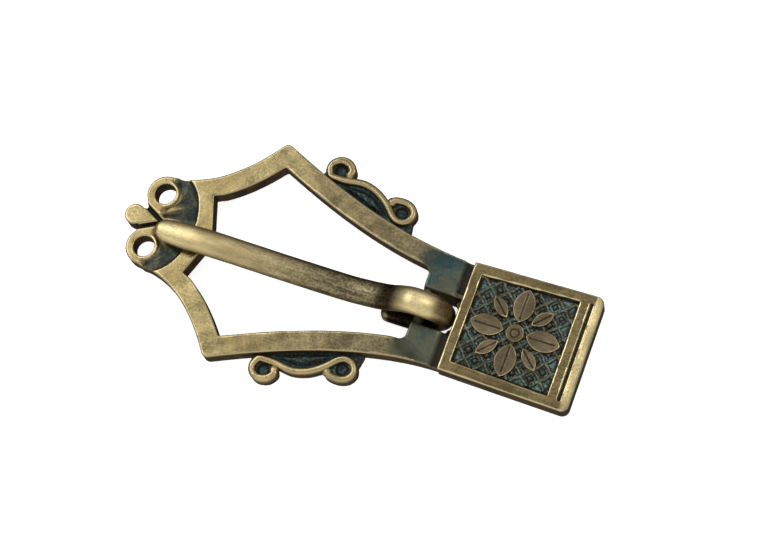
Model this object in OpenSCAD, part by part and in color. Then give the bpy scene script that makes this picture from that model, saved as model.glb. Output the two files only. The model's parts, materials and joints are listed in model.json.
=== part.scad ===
// Belt buckle: an open cast frame with a pierced head, a recessed neck, an ornamented plaque
// and two side scrolls, and a bent tongue hooked round the hinge bar.
// +X runs from the head to the plaque, +Z is the face. The origin is the middle of the base.

/* [Frame] */
// Distance from the finial's tip to the hinge axis
frame_reach = 48.2; // [44:0.1:58]
// Distance from the finial's tip to the widest corners
corner_set = 20.1; // [18:0.1:24.5]
// Half of the frame's width over the corners, before they are rounded
corner_half_w = 17.9; // [15.5:0.1:21.5]
// Radius of the rounded corner
corner_r = 0.9; // [0.5:0.1:1.4]
// Width of a rail seen from the face
rail_w = 3.1; // [2.4:0.1:3.8]
// Thickness of a rail
rail_t = 2.9; // [2.4:0.1:3.6]

/* [Head] */
// Radius of the two holes
hole_r = 1.66; // [1.3:0.02:2]
// Distance between the two hole centres
hole_spacing = 8.8; // [8:0.1:10.6]
// Distance from the finial's tip to the hole centres
hole_set = 4.95; // [4.6:0.05:6]
// Width of metal round a hole
lobe_wall = 1.2; // [1:0.05:1.6]
// Radius of the finial bead
bead_r = 1.65; // [1.3:0.05:1.95]
// Distance from the finial's tip to the opening's pointed edge
edge_set = 14.5; // [13:0.1:15.5]
// How far the pointed edge leads the inner corners
edge_point = 2.2; // [1:0.1:3]
// Width of the raised band between the leaf recess and the opening
band_w = 3.15; // [2.5:0.05:4]
// Depth of the leaf recess and of the grooves beside the bead
carve_d = 0.7; // [0.4:0.05:1]
// Width of the grooves beside the bead
groove_w = 0.6; // [0.4:0.05:0.8]

/* [Neck and hinge bar] */
// Half of the neck's width where it meets the plaque
neck_half_w = 8.45; // [7.2:0.05:10.1]
// Radius of the hinge bar
bar_r = 0.78; // [0.65:0.01:0.95]
// How far the neck's face lies below the rails' face
neck_drop = 0.9; // [0.5:0.05:1.2]
// Radius of the opening's corners at the neck
neck_corner_r = 1.1; // [0.6:0.1:1.6]

/* [Plaque] */
// Length of the plaque
plaque_len = 20; // [18:0.1:24]
// Half of the plaque's width at its free end
plaque_half_w = 9.05; // [8.2:0.05:10.9]
// Thickness of the plaque
plaque_t = 3.4; // [3:0.1:4.1]
// Width of the rim on the neck side and along the edges
rim_w = 1.6; // [1.2:0.1:2]
// Width of the plain band at the free end
end_band_w = 3.5; // [3:0.1:4.2]
// Width of the line cut across the end band
line_w = 0.75; // [0.5:0.05:0.9]
// Distance from the free end to the line
line_set = 1.35; // [1:0.05:1.6]
// Depth of the recess inside the rim
recess_d = 0.75; // [0.5:0.05:1]
// Spacing of the lattice ridges
lattice_pitch = 2; // [1.7:0.1:2.5]
// Width of a lattice ridge
lattice_w = 0.45; // [0.3:0.05:0.6]
// Length of a large ornament leaf
leaf_len = 5.2; // [4.4:0.1:5.3]
// Width of a large ornament leaf
leaf_w = 3.2; // [2.6:0.1:3.5]
// Length of a small ornament leaf, which lies across the corner between two large ones
small_leaf_len = 3.8; // [3:0.1:4.2]
// Width of a small ornament leaf
small_leaf_w = 1.9; // [1.4:0.1:2.2]

/* [Side scrolls] */
// Width of the scroll ribbon
ribbon_w = 1.15; // [0.85:0.05:1.3]
// How far the ribbon's top lies below the rails' face
ribbon_drop = 0.6; // [0.3:0.05:0.9]
// How far the scroll's floor lies below the ribbon's top
scroll_floor = 0.8; // [0.5:0.05:1.1]
// Outer radius of the ribbon's curls
curl_r = 2.25; // [1.9:0.05:2.6]

/* [Tongue] */
// Width of the tongue
tongue_w = 4.1; // [3.4:0.1:4.9]
// Thickness of the tongue's stem and hook
tongue_t = 2.5; // [2:0.1:3]
// Thickness of the flattened tail under the hinge bar
tail_t = 1.75; // [1.4:0.05:2.1]
// Distance from the finial's tip to the tongue's tip
tip_set = 6.1; // [5.5:0.1:8]
// How far the stem dips below its tip before it rises to the hook
stem_sag = 2.7; // [1.6:0.1:3]
// Turn of the tongue in plan, which carries its tip off the centre line
tongue_turn = 1.5; // [0:0.1:1.8]
// Sideways place of the hook in the slot
hook_offset = -0.45; // [-0.6:0.05:0]
// Sideways place of the tail beside the hook
tail_offset = -1; // [-1.2:0.1:0]

/* [Clearances] */
// Gap between the tongue's tip and the head's face
rest_gap = 0.12; // [0.05:0.01:0.3]
// Gap between the hook and each side of the slot
side_gap = 0.35; // [0.3:0.05:0.6]
// Gap between the hook and the plaque's wall
slot_gap = 0.35; // [0.3:0.05:0.6]
// Play between the hinge bar and the hook's inside, towards the plaque
hook_play = 1.75; // [0.4:0.05:2]
// Play between the hinge bar and the hook's inside, above the bar
crown_play = 1.75; // [0.4:0.05:2]
// Gap between the tail and the frame's underside
tail_gap = 0.35; // [0.3:0.05:0.6]

/* [Hidden] */
$fn = 64;

steps = 10;                       // straight pieces in one curved stretch of an outline
over = 1;                         // how far a cut runs past the face it opens

// Colours of the worn brass, the dark recesses and the brighter tongue
brass = [0.66, 0.56, 0.36];
dull = [0.45, 0.42, 0.33];
patina = [0.2, 0.3, 0.3];
bright = [0.74, 0.63, 0.38];

// Heights: the tail touches the ground and carries the frame's underside clear of it
base_z = tail_t + tail_gap;
face_z = base_z + rail_t;
neck_z = face_z - neck_drop;
axis_z = (base_z + neck_z) / 2;
plaque_base_z = face_z - plaque_t;
plaque_floor_z = face_z - recess_d;
ribbon_z = face_z - ribbon_drop;
scroll_z = ribbon_z - scroll_floor;

// Stations along X
neck_len = bar_r + hook_play + tongue_t + slot_gap;
total_len = frame_reach + neck_len + plaque_len;
tip_x = -total_len / 2;
hinge_x = tip_x + frame_reach;
plaque_x = hinge_x + neck_len;
end_x = plaque_x + plaque_len;
hole_x = tip_x + hole_set;
hole_y = hole_spacing / 2;
lobe_r = hole_r + lobe_wall;
edge_x = tip_x + edge_set;
corner_x = tip_x + corner_set;
bar_left_x = hinge_x - bar_r;
arm_end_x = bar_left_x - neck_corner_r;
slot_half = tongue_w / 2 + abs(hook_offset) + side_gap;

// A curve of three points, its direction, and the same curve moved to its right by d
function bend(a, b, c, t) = (1 - t) * (1 - t) * a + 2 * t * (1 - t) * b + t * t * c;
function slope(a, b, c, t) = (1 - t) * (b - a) + t * (c - b);
function right_of(v) = [v[1], -v[0]] / norm(v);
function curve(a, b, c, d, t0 = 0, t1 = 1) =
    [for (i = [0 : steps]) let (t = t0 + (t1 - t0) * i / steps)
        bend(a, b, c, t) + d * right_of(slope(a, b, c, t))];
function arc(c, r, a0, a1, n = steps) =
    [for (i = [0 : n]) let (a = a0 + (a1 - a0) * i / n) c + r * [cos(a), sin(a)]];
function last_of(points) = points[len(points) - 1];
function flip(points) = [for (i = [len(points) - 1 : -1 : 0]) points[i]];

// Outer edge of the short arm, from the lobe to the corner, and of the long arm to the neck
shoulder = [hole_x + 0.85, hole_y + lobe_r + 0.15];
corner = [corner_x, corner_half_w];
neck_end = [plaque_x, neck_half_w];
head_bend = [shoulder[0] + 7.6, shoulder[1] + 0.7];
long_bend = [corner_x + 0.6 * (plaque_x - corner_x), neck_half_w - 0.1];
head_split = 0.42;                // where the head plate ends and the arm starts
arm_outer = curve(shoulder, head_bend, corner, 0, head_split, 1);
arm_inner = curve(shoulder, head_bend, corner, rail_w, head_split, 1);
long_outer = curve(corner, long_bend, neck_end, 0);
long_inner = curve(corner, long_bend, neck_end, rail_w);

// The corner is cut along the line through its inner and outer points
head_dir = slope(shoulder, head_bend, corner, 1);
long_dir = slope(corner, long_bend, neck_end, 0);
mitre = right_of(head_dir) + right_of(long_dir);
mitre_dir = mitre / norm(mitre);
corner_lean = mitre_dir * right_of(long_dir);
inner_corner = corner + mitre_dir * rail_w / corner_lean;
round_c = corner + mitre_dir * corner_r / corner_lean;
function direction(v) = atan2(v[1], v[0]);
tip_angle = direction(-mitre_dir);
head_round = arc(round_c, corner_r, direction(-right_of(head_dir)), tip_angle, 4);
long_round = arc(round_c, corner_r, tip_angle, direction(-right_of(long_dir)), 4);

module slab(points, z0, z1) {
    translate([0, 0, z0]) linear_extrude(z1 - z0) polygon(points);
}

// side is 1 for the upper half of the frame and -1 for its mirror image below
module on_side(side) mirror([0, side < 0 ? 1 : 0, 0]) children();

// ---- Head: two pierced lobes, the leaf recess and the pointed edge of the opening ----

module head_outline_half() {
    split_outer = arm_outer[0];
    split_inner = arm_inner[0];
    polygon(concat([[edge_x, 0], [edge_x - edge_point, split_inner[1] - 0.6], split_inner],
        flip(curve(shoulder, head_bend, corner, 0, 0, head_split)),
        [[hole_x - lobe_r * 0.75, bead_r], [hole_x - lobe_r * 0.75, 0]]));
    translate([hole_x, hole_y]) circle(r = lobe_r);
}

module leaf_recess_outline() {
    reach = edge_x - band_w - (hole_x + 0.9);
    tall = hole_y + lobe_r + 0.8;
    difference() {
        polygon([for (i = [-12 : 12]) let (a = i * 7.5)
            [hole_x + 0.9 + reach * cos(a), tall * sin(a)]]);
        for (s = [-1, 1]) translate([hole_x, s * hole_y]) circle(r = lobe_r - 0.3);
    }
}

module bead_grooves() {
    meet_x = hole_x + 0.9;
    start = [tip_x + 2.3, bead_r + 0.4];
    run = [meet_x - start[0], start[1]];
    for (s = [-1, 1])
        translate([meet_x, 0, face_z - carve_d]) rotate([0, 0, s * (180 - atan2(run[1], run[0]))])
            translate([-groove_w / 2, -groove_w / 2, 0])
                cube([norm(run) + over, groove_w, carve_d + over]);
}

module head_plate() color(brass) difference() {
    for (s = [-1, 1]) on_side(s)
        translate([0, 0, base_z]) linear_extrude(rail_t) head_outline_half();
    translate([0, 0, face_z - carve_d]) linear_extrude(carve_d + over) leaf_recess_outline();
    bead_grooves();
    for (s = [-1, 1]) translate([hole_x, s * hole_y, base_z - over])
        cylinder(r = hole_r, h = rail_t + 2 * over);
    translate([tip_x + bead_r, 0, base_z - over]) cylinder(r = bead_r, h = rail_t + 2 * over);
}

module finial_bead() color(brass) translate([tip_x + bead_r, 0, base_z])
    cylinder(r = bead_r, h = rail_t);

// ---- Arms of the open frame ----

module head_arm(side) color(brass) on_side(side)
    slab(concat([for (p = arm_outer) if (p[0] < head_round[0][0]) p], head_round, [inner_corner],
        flip([for (p = arm_inner) if (p[0] < inner_corner[0]) p])), base_z, face_z);

module long_arm(side) color(brass) on_side(side)
    slab(concat(long_round,
        [for (p = long_outer) if (p[0] > last_of(long_round)[0] && p[0] < arm_end_x) p],
        [[arm_end_x, cut_y(long_outer)], [arm_end_x, cut_y(long_inner)]],
        flip([for (p = long_inner) if (p[0] > inner_corner[0] && p[0] < arm_end_x) p]),
        [inner_corner]), base_z, face_z);

// Height of an outline where it crosses the arm's end
function cut_y(points) = lookup(arm_end_x, [for (p = points) [p[0], p[1]]]);

// ---- Neck: two cheeks either side of the slot, and the bar the tongue hooks round ----

module neck_cheek(side) color(dull) on_side(side) {
    inner_y = cut_y(long_inner);
    bend_c = [arm_end_x, inner_y - neck_corner_r];
    slab(concat([[arm_end_x, cut_y(long_outer)]],
        [for (p = long_outer) if (p[0] > arm_end_x) p],
        [[plaque_x, slot_half], [bar_left_x, slot_half]],
        arc(bend_c, neck_corner_r, 0, 90)), base_z, neck_z);
}

module hinge_bar() color(dull) translate([hinge_x, slot_half, axis_z]) rotate([90, 0, 0])
    cylinder(r = bar_r, h = 2 * slot_half);

// ---- Plaque ----

plaque_step = 0.15;               // how far the plaque stands proud of the neck's sides
plaque_neck_half = neck_half_w + plaque_step;
recess_x0 = plaque_x + rim_w;
recess_x1 = end_x - end_band_w;
recess_neck_half = plaque_neck_half - rim_w - 0.1;
recess_end_half = plaque_half_w - rim_w;
recess_mid_x = (recess_x0 + recess_x1) / 2;

module recess_outline() polygon([[recess_x0, -recess_neck_half], [recess_x1, -recess_end_half],
    [recess_x1, recess_end_half], [recess_x0, recess_neck_half]]);

module plaque() color(brass) difference() {
    slab([[plaque_x, -plaque_neck_half], [end_x, -plaque_half_w], [end_x, plaque_half_w],
        [plaque_x, plaque_neck_half]], plaque_base_z, face_z);
    translate([0, 0, plaque_floor_z]) linear_extrude(recess_d + over) recess_outline();
    translate([end_x - line_set - line_w, -recess_end_half, plaque_floor_z])
        cube([line_w, 2 * recess_end_half, recess_d + over]);
}

lattice_h = recess_d * 0.6;

module lattice_bars(angle) {
    reach = recess_x1 - recess_x0;
    count = ceil(reach / lattice_pitch);
    translate([recess_mid_x, 0]) rotate(angle) for (i = [-count : count])
        translate([-reach, (i + 0.5) * lattice_pitch - lattice_w / 2]) square([2 * reach, lattice_w]);
}

module plaque_lattice() color(patina) translate([0, 0, plaque_floor_z]) linear_extrude(lattice_h)
    difference() {
        intersection() {
            recess_outline();
            union() { lattice_bars(45); lattice_bars(-45); }
        }
        ornament_outline();
    }

// A pointed leaf between two equal arcs, lying along X from the origin
module leaf(len, wide) {
    r = (len * len + wide * wide) / (4 * wide);
    half = asin(len / 2 / r);
    polygon(concat(arc([len / 2, wide / 2 - r], r, 90 + half, 90 - half),
        arc([len / 2, r - wide / 2], r, -90 + half, -90 - half)));
}

ornament_boss_r = leaf_w * 0.42;

module ornament_outline() translate([recess_mid_x, 0]) {
    circle(r = ornament_boss_r);
    for (a = [0 : 90 : 270]) rotate(a) {
        translate([ornament_boss_r + 0.35, 0]) leaf(leaf_len, leaf_w);
        rotate(45) translate([ornament_boss_r + 1.3, 0]) leaf(small_leaf_len, small_leaf_w);
    }
}

module plaque_ornament() color(dull) translate([0, 0, plaque_floor_z]) linear_extrude(recess_d)
    ornament_outline();

// ---- Side scrolls: a floor that meets the rail, and a curled ribbon on it ----

// The scroll is laid out along the rail's outer edge: u is along the edge and v stands off it
scroll_t = 0.4;                   // place of u = 0 along the long arm
long_len = 2 * norm(slope(corner, long_bend, neck_end, scroll_t));
function on_scroll(p) = let (t = scroll_t + p[0] / long_len)
    bend(corner, long_bend, neck_end, t) - p[1] * right_of(slope(corner, long_bend, neck_end, t));

curl_near = [-6.9, curl_r - 0.05];    // centre of the curl that touches the rail near the corner
curl_far = [4.8, curl_r + 0.1];       // centre of the curl near the neck, which stands off the rail
ribbon_path = [[-7.2, 0.55], [-5.3, 1.45], [-3.6, 2.45], [-2.2, 2.85], [-0.5, 2.9], [1.2, 2.5],
    [2.75, 1.8], [4.1, 1.1], [5.4, 0.9]];

// A smooth curve through a list of points
function smooth(p, n) = [for (i = [0 : len(p) - 2]) for (j = [0 : n - 1])
    let (a = p[max(i - 1, 0)], b = p[i], c = p[i + 1], d = p[min(i + 2, len(p) - 1)], t = j / n)
    0.5 * (2 * b + t * (c - a) + t * t * (2 * a - 5 * b + 4 * c - d) + t * t * t * (3 * b - a - 3 * c + d))];

function thick(p, w) = let (last = len(p) - 1,
        side = [for (i = [0 : last]) right_of(p[min(i + 1, last)] - p[max(i - 1, 0)]) * w / 2])
    concat([for (i = [0 : last]) p[i] + side[i]], [for (i = [last : -1 : 0]) p[i] - side[i]]);

ribbon_line = [for (q = smooth(ribbon_path, 3)) on_scroll(q)];

module ribbon_outline() {
    polygon(thick(ribbon_line, ribbon_w));
    for (c = [curl_near, curl_far]) translate(on_scroll(c)) circle(r = curl_r);
}

module scroll_floor_outline() {
    u_near = curl_near[0] - 0.9 * curl_r;
    u_far = curl_far[0] + 1.6 * curl_r;
    sunk = -rail_w / 2;           // the rail is cut out of this later
    polygon(concat([on_scroll([u_near, curl_r / 3]), on_scroll([u_near, sunk]),
        on_scroll([u_far, sunk]), on_scroll([u_far, 0.2]), on_scroll([curl_far[0] + curl_r, curl_r])],
        flip(ribbon_line)));
}

module inside_rail_edge() polygon(concat([[corner_x, 0], [plaque_x, 0]], flip(long_outer)));

module scroll_plate(side) color(patina) on_side(side) difference() {
    translate([0, 0, base_z]) linear_extrude(scroll_z - base_z) {
        ribbon_outline();
        scroll_floor_outline();
    }
    translate([0, 0, base_z - over]) linear_extrude(rail_t + 2 * over) inside_rail_edge();
}

module scroll_ribbon(side) color(brass) on_side(side) difference() {
    translate([0, 0, scroll_z]) linear_extrude(ribbon_z - scroll_z) ribbon_outline();
    translate([0, 0, base_z - over]) linear_extrude(rail_t + 2 * over) inside_rail_edge();
}

// ---- Tongue: a round-tipped bar that rests on the head, dips, and hooks round the hinge bar ----

half_t = tongue_t / 2;
stem_len = hinge_x - edge_x;
tip_z = face_z + rest_gap + half_t;
low_z = tip_z - stem_sag;
crown_z = axis_z + bar_r + crown_play + half_t;
back_x = hinge_x + bar_r + hook_play + half_t;
tail_z = tail_t / 2;

// Middle line of the stem and hook, and of the tail, as [x, z, thickness]
stem_line = [
    [tip_x + tip_set, tip_z + 0.1, tongue_t], [edge_x - 4, tip_z + 0.05, tongue_t],
    [edge_x + 1, tip_z - 0.1, tongue_t], [edge_x + stem_len * 0.37, tip_z - stem_sag * 0.62, tongue_t],
    [edge_x + stem_len * 0.67, low_z, tongue_t], [hinge_x - 5.4, low_z + 0.95, tongue_t],
    [hinge_x - 3.3, crown_z - 0.85, tongue_t], [hinge_x - 0.9, crown_z, tongue_t],
    [hinge_x + 2, crown_z - 0.75, tongue_t], [back_x - 0.15, axis_z + 1.3, tongue_t],
    [back_x - 0.05, axis_z - 0.7, tongue_t], [back_x - 1.5, tail_z + 0.45, (tongue_t + tail_t) / 2],
    [hinge_x + 0.9, tail_z + 0.03, tail_t]];
tail_line = [[hinge_x + 2.6, tail_z, tail_t], [hinge_x + 1.2, tail_z, tail_t],
    [hinge_x - 0.4, tail_z, tail_t], [hinge_x - 2.4, tail_z + 0.12, tail_t],
    [hinge_x - 6.2, tail_z + 0.7, tail_t]];

function strip(line, n) = let (p = smooth(line, n), last = len(p) - 1,
        side = [for (i = [0 : last]) let (a = p[max(i - 1, 0)], b = p[min(i + 1, last)])
            right_of([b[0] - a[0], b[1] - a[1]]) * p[i][2] / 2])
    concat([for (i = [0 : last]) [p[i][0], p[i][1]] + side[i]],
        [for (i = [last : -1 : 0]) [p[i][0], p[i][1]] - side[i]]);

module side_profile(points, y_mid) translate([0, y_mid + tongue_w / 2, 0]) rotate([90, 0, 0])
    linear_extrude(tongue_w) polygon(points);

module tongue() color(bright) translate([hinge_x, 0, 0]) rotate([0, 0, tongue_turn])
    translate([-hinge_x, hook_offset, 0]) {
        intersection() {
            side_profile(strip(stem_line, 5), 0);
            slab(concat(arc([tip_x + tip_set + tongue_w / 2, 0], tongue_w / 2, 90, 270),
                [[end_x, -tongue_w / 2], [end_x, tongue_w / 2]]), -over, face_z + 3 * tongue_t);
        }
        side_profile(strip(tail_line, 4), tail_offset);
    }

head_plate();
finial_bead();
head_arm(1);  // upper_head_arm
head_arm(-1);  // lower_head_arm
long_arm(1);  // upper_long_arm
long_arm(-1);  // lower_long_arm
neck_cheek(1);  // upper_neck_cheek
neck_cheek(-1);  // lower_neck_cheek
hinge_bar();
plaque();
plaque_lattice();
plaque_ornament();
scroll_plate(1);  // upper_scroll_plate
scroll_plate(-1);  // lower_scroll_plate
scroll_ribbon(1);  // upper_scroll_ribbon
scroll_ribbon(-1);  // lower_scroll_ribbon
tongue();
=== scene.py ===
# %% [markdown]
# # An antique brass belt buckle
# The buckle is one openwork casting and one bent tongue. The casting is a pierced head, an open
# frame with cornered rails, a recessed neck, an ornamented plaque and two side scrolls.
# The CAD model gives every place and size. Here each region gets its worn, cast shape and finish.

# %% Load the frame
import json
import math

import bpy
import numpy as np
import openvdb
from mathutils import Matrix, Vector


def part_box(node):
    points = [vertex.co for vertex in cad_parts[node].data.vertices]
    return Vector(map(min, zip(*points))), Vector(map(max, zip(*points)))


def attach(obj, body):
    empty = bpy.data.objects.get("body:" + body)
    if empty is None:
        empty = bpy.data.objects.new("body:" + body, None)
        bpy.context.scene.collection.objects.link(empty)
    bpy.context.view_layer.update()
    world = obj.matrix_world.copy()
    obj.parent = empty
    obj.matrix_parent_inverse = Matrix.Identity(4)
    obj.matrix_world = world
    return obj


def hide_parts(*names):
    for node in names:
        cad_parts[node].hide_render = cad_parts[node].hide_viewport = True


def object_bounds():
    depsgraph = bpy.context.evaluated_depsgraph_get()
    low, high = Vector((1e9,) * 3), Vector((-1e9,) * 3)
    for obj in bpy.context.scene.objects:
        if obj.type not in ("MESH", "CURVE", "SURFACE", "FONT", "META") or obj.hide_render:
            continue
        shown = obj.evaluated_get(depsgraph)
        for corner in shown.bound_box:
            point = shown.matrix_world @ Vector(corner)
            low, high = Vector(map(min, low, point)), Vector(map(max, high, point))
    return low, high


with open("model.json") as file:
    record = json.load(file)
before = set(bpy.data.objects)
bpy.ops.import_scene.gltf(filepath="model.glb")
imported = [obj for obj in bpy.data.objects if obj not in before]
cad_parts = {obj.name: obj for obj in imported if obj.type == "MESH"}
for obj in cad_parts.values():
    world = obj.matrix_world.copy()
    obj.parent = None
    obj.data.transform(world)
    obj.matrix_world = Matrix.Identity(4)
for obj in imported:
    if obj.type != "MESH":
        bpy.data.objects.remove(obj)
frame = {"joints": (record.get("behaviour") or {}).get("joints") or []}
cad_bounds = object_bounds()
print("CAD box", cad_bounds)

# %% [markdown]
# Small castings are easiest to think of in millimetres, so every size below is in millimetres
# and a mesh is scaled to metres once, when it is made. The main places are read from the boxes
# of the CAD nodes, so the looks follow the design.

# %% Sizes taken from the frame
MM = 0.001


def corners(node):
    low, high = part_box(node)
    return np.array(low) / MM, np.array(high) / MM


bead_low, bead_high = corners("finial_bead")
plaque_low, plaque_high = corners("plaque")
cheek_high = corners("upper_neck_cheek")[1]
arm_low, arm_high = corners("upper_head_arm")
bar_low, bar_high = corners("hinge_bar")
tongue_low, tongue_high = corners("tongue")
hinge = np.array(frame["joints"][0]["pos_m"]) / MM
TIP_X, BEAD_R = bead_low[0], (bead_high[1] - bead_low[1]) / 2
PLAQUE_X, END_X = plaque_low[0], plaque_high[0]
HINGE_X, AXIS_Z = hinge[0], hinge[2]
FACE_Z, BASE_Z, NECK_Z = plaque_high[2], arm_low[2], cheek_high[2]
BAR_R, SLOT_HALF = (bar_high[2] - bar_low[2]) / 2, bar_high[1]
NECK_HALF = 8.45
PLAQUE_NECK_HALF, PLAQUE_END_HALF = NECK_HALF + 0.15, plaque_high[1]
RAIL_W = 3.1
print("face", FACE_Z, "base", BASE_Z, "neck", NECK_Z, "hinge", HINGE_X, AXIS_Z)

# %% [markdown]
# ## Outlines
# The frame's edges are smooth bows between a few corners. A bow needs only its two ends and one
# pulling point, and an inner edge is the same bow moved sideways by the width of the rail.


# %% Bows, arcs and smooth lines
def unit(v):
    v = np.asarray(v, float)
    return v / np.linalg.norm(v)


def bow(a, b, c, inset=0.0, start=0.0, end=1.0, count=24):
    a, b, c = map(np.array, (a, b, c))
    t = np.linspace(start, end, count)[:, None]
    place = (1 - t) ** 2 * a + 2 * t * (1 - t) * b + t * t * c
    run = (1 - t) * (b - a) + t * (c - b)
    run = run / np.linalg.norm(run, axis=1, keepdims=True)
    return place + inset * np.stack([run[:, 1], -run[:, 0]], 1)


def arc(centre, radius, start, end, count=12):
    a = np.radians(np.linspace(start, end, count))
    return np.array(centre) + radius * np.stack([np.cos(a), np.sin(a)], 1)


def smooth_line(points, steps):
    p = np.array(points, float)
    p = np.vstack([2 * p[0] - p[1], p, 2 * p[-1] - p[-2]])
    line = []
    for a, b, c, d in zip(p, p[1:], p[2:], p[3:]):
        for t in np.arange(steps) / steps:
            line.append(0.5 * (2 * b + t * (c - a) + t * t * (2 * a - 5 * b + 4 * c - d)
                               + t ** 3 * (3 * b - a - 3 * c + d)))
    line.append(p[-2])
    return np.array(line)


def ramp(x, low, high):
    t = np.clip((x - low) / (high - low), 0, 1)
    return t * t * (3 - 2 * t)


# %% The frame's driving corners
HOLE = np.array([TIP_X + 4.95, 4.4])
HOLE_R, LOBE_R = 1.61, 2.86
EDGE_X, EDGE_POINT = TIP_X + 14.5, 2.2
shoulder = (HOLE[0] + 0.85, HOLE[1] + LOBE_R + 0.15)
corner = (TIP_X + 20.1, 17.9)
neck_end = (PLAQUE_X, NECK_HALF)
head_pull = (shoulder[0] + 7.6, shoulder[1] + 0.7)
long_pull = (corner[0] + 0.6 * (PLAQUE_X - corner[0]), NECK_HALF - 0.1)
head_edge = bow(shoulder, head_pull, corner)
long_edge = bow(corner, long_pull, neck_end, count=36)
head_inner = bow(shoulder, head_pull, corner, RAIL_W, 0.42, 1)
long_inner = bow(corner, long_pull, neck_end, RAIL_W, count=36)
lean_head, lean_long = unit(np.subtract(corner, head_pull)), unit(np.subtract(long_pull, corner))
right_head = np.array([lean_head[1], -lean_head[0]])
right_long = np.array([lean_long[1], -lean_long[0]])
mitre = unit(right_head + right_long)
inner_corner = np.array(corner) + mitre * RAIL_W / (mitre @ right_long)
CORNER_R = 1.0
round_centre = np.array(corner) + mitre * CORNER_R / (mitre @ right_long)
print("inner corner", inner_corner.round(2))

# %% [markdown]
# ## How the castings are shaped
# A casting could be modelled with extrusions and bevels, but its leaf veins, scooped hollows and
# rubbed edges fight against that. It is a flat thing with an outline and a carved face, so two
# maps describe it: the distance to its outline and the height of its face. A volume is filled
# from the maps and skinned with one even mesh, and the same rounding runs along every edge.


# %% Distances to outlines
def polygon_distance(points, x, y):
    best = np.full(x.shape, 1e9)
    inside = np.zeros(x.shape, bool)
    for (ax, ay), (bx, by) in zip(points, np.roll(points, -1, 0)):
        ex, ey = bx - ax, by - ay
        t = np.clip(((x - ax) * ex + (y - ay) * ey) / max(ex * ex + ey * ey, 1e-12), 0, 1)
        best = np.minimum(best, np.hypot(x - ax - t * ex, y - ay - t * ey))
        crosses = (ay > y) != (by > y)
        inside ^= crosses & (x < ax + (y - ay) * ex / (ey if ey else 1.0))
    return np.where(inside, -best, best)


def line_distance(points, x, y):
    best = np.full(x.shape, 1e9)
    for (ax, ay), (bx, by) in zip(points, points[1:]):
        ex, ey = bx - ax, by - ay
        t = np.clip(((x - ax) * ex + (y - ay) * ey) / max(ex * ex + ey * ey, 1e-12), 0, 1)
        best = np.minimum(best, np.hypot(x - ax - t * ex, y - ay - t * ey))
    return best


def merge(a, b, fillet):
    h = np.clip(0.5 + 0.5 * (b - a) / fillet, 0, 1)
    return b + (a - b) * h - fillet * h * (1 - h)


def unevenness(x, y, size=0.02):
    return size * (np.sin(0.9 * x + 0.7 * y + 1.3) + np.sin(0.53 * x - 1.1 * y)
                   + 0.6 * np.sin(2.1 * x + 0.4 * y) * np.sin(1.7 * y - 0.3 * x))


# %% Filling and skinning a volume
def mesh_object(name, points, faces):
    mesh = bpy.data.meshes.new(name)
    mesh.from_pydata((np.asarray(points) * MM).tolist(), [], [list(f) for f in faces])
    mesh.shade_smooth()
    piece = bpy.data.objects.new(name, mesh)
    bpy.context.scene.collection.objects.link(piece)
    return piece


def relaxed(points, quads, rounds=3):
    """The points after a few rounds of smoothing that takes the grid's steps out and keeps the size."""
    a, b = quads.ravel(), quads[:, [1, 2, 3, 0]].ravel()
    count = np.maximum(np.bincount(a, minlength=len(points)), 1)[:, None]
    for pull in (0.5, -0.52) * rounds:
        summed = np.column_stack([np.bincount(a, points[b, i], len(points)) for i in range(3)])
        points = points + pull * (summed / count - points)
    return points


def cast(name, plan, top, low, high, voxel, edge_r, bottom=None, also=None):
    """A solid from a plan distance and a face height, between two box corners."""
    pad = 4 * voxel
    x, y, z = (np.arange(low[i] - pad, high[i] + pad, voxel) for i in range(3))
    gx, gy = np.meshgrid(x, y, indexing="ij")
    side = plan(gx, gy)[..., None] + edge_r
    floor = low[2] if bottom is None else bottom
    cap = np.maximum(z - top(gx, gy)[..., None], floor - z) + edge_r
    solid = np.minimum(np.maximum(side, cap), 0) + np.hypot(np.maximum(side, 0), np.maximum(cap, 0))
    solid = solid - edge_r
    if also is not None:
        solid = merge(solid, also(gx[..., None], gy[..., None], z), 0.3)
    band = 3 * voxel
    grid = openvdb.FloatGrid(band)
    grid.copyFromArray(np.clip(solid, -band, band).astype(np.float32))
    grid.transform = openvdb.createLinearTransform(voxelSize=voxel)
    points, quads = grid.convertToQuads(isovalue=0.0)
    points = relaxed(points, quads) + np.array([x[0], y[0], z[0]])
    a, b, c, d = (points[quads[:, i]] for i in range(4))
    volume = (np.cross(b - a, c - a) * a).sum() + (np.cross(c - a, d - a) * a).sum()
    piece = mesh_object(name, points, quads if volume > 0 else quads[:, ::-1])
    print(name, len(points), "points", len(quads), "faces", points.min(0).round(2), points.max(0).round(2))
    return piece


# %% [markdown]
# ## Head, rails, neck and hinge bar
# These are one piece of metal, so one volume makes them. The face map carries the leaf recess
# behind the two holes, the grooves that free the finial bead, and the neck that was scooped
# lower than the rails. The round bar crosses the slot at its own height, so it has its own shape.

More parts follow.
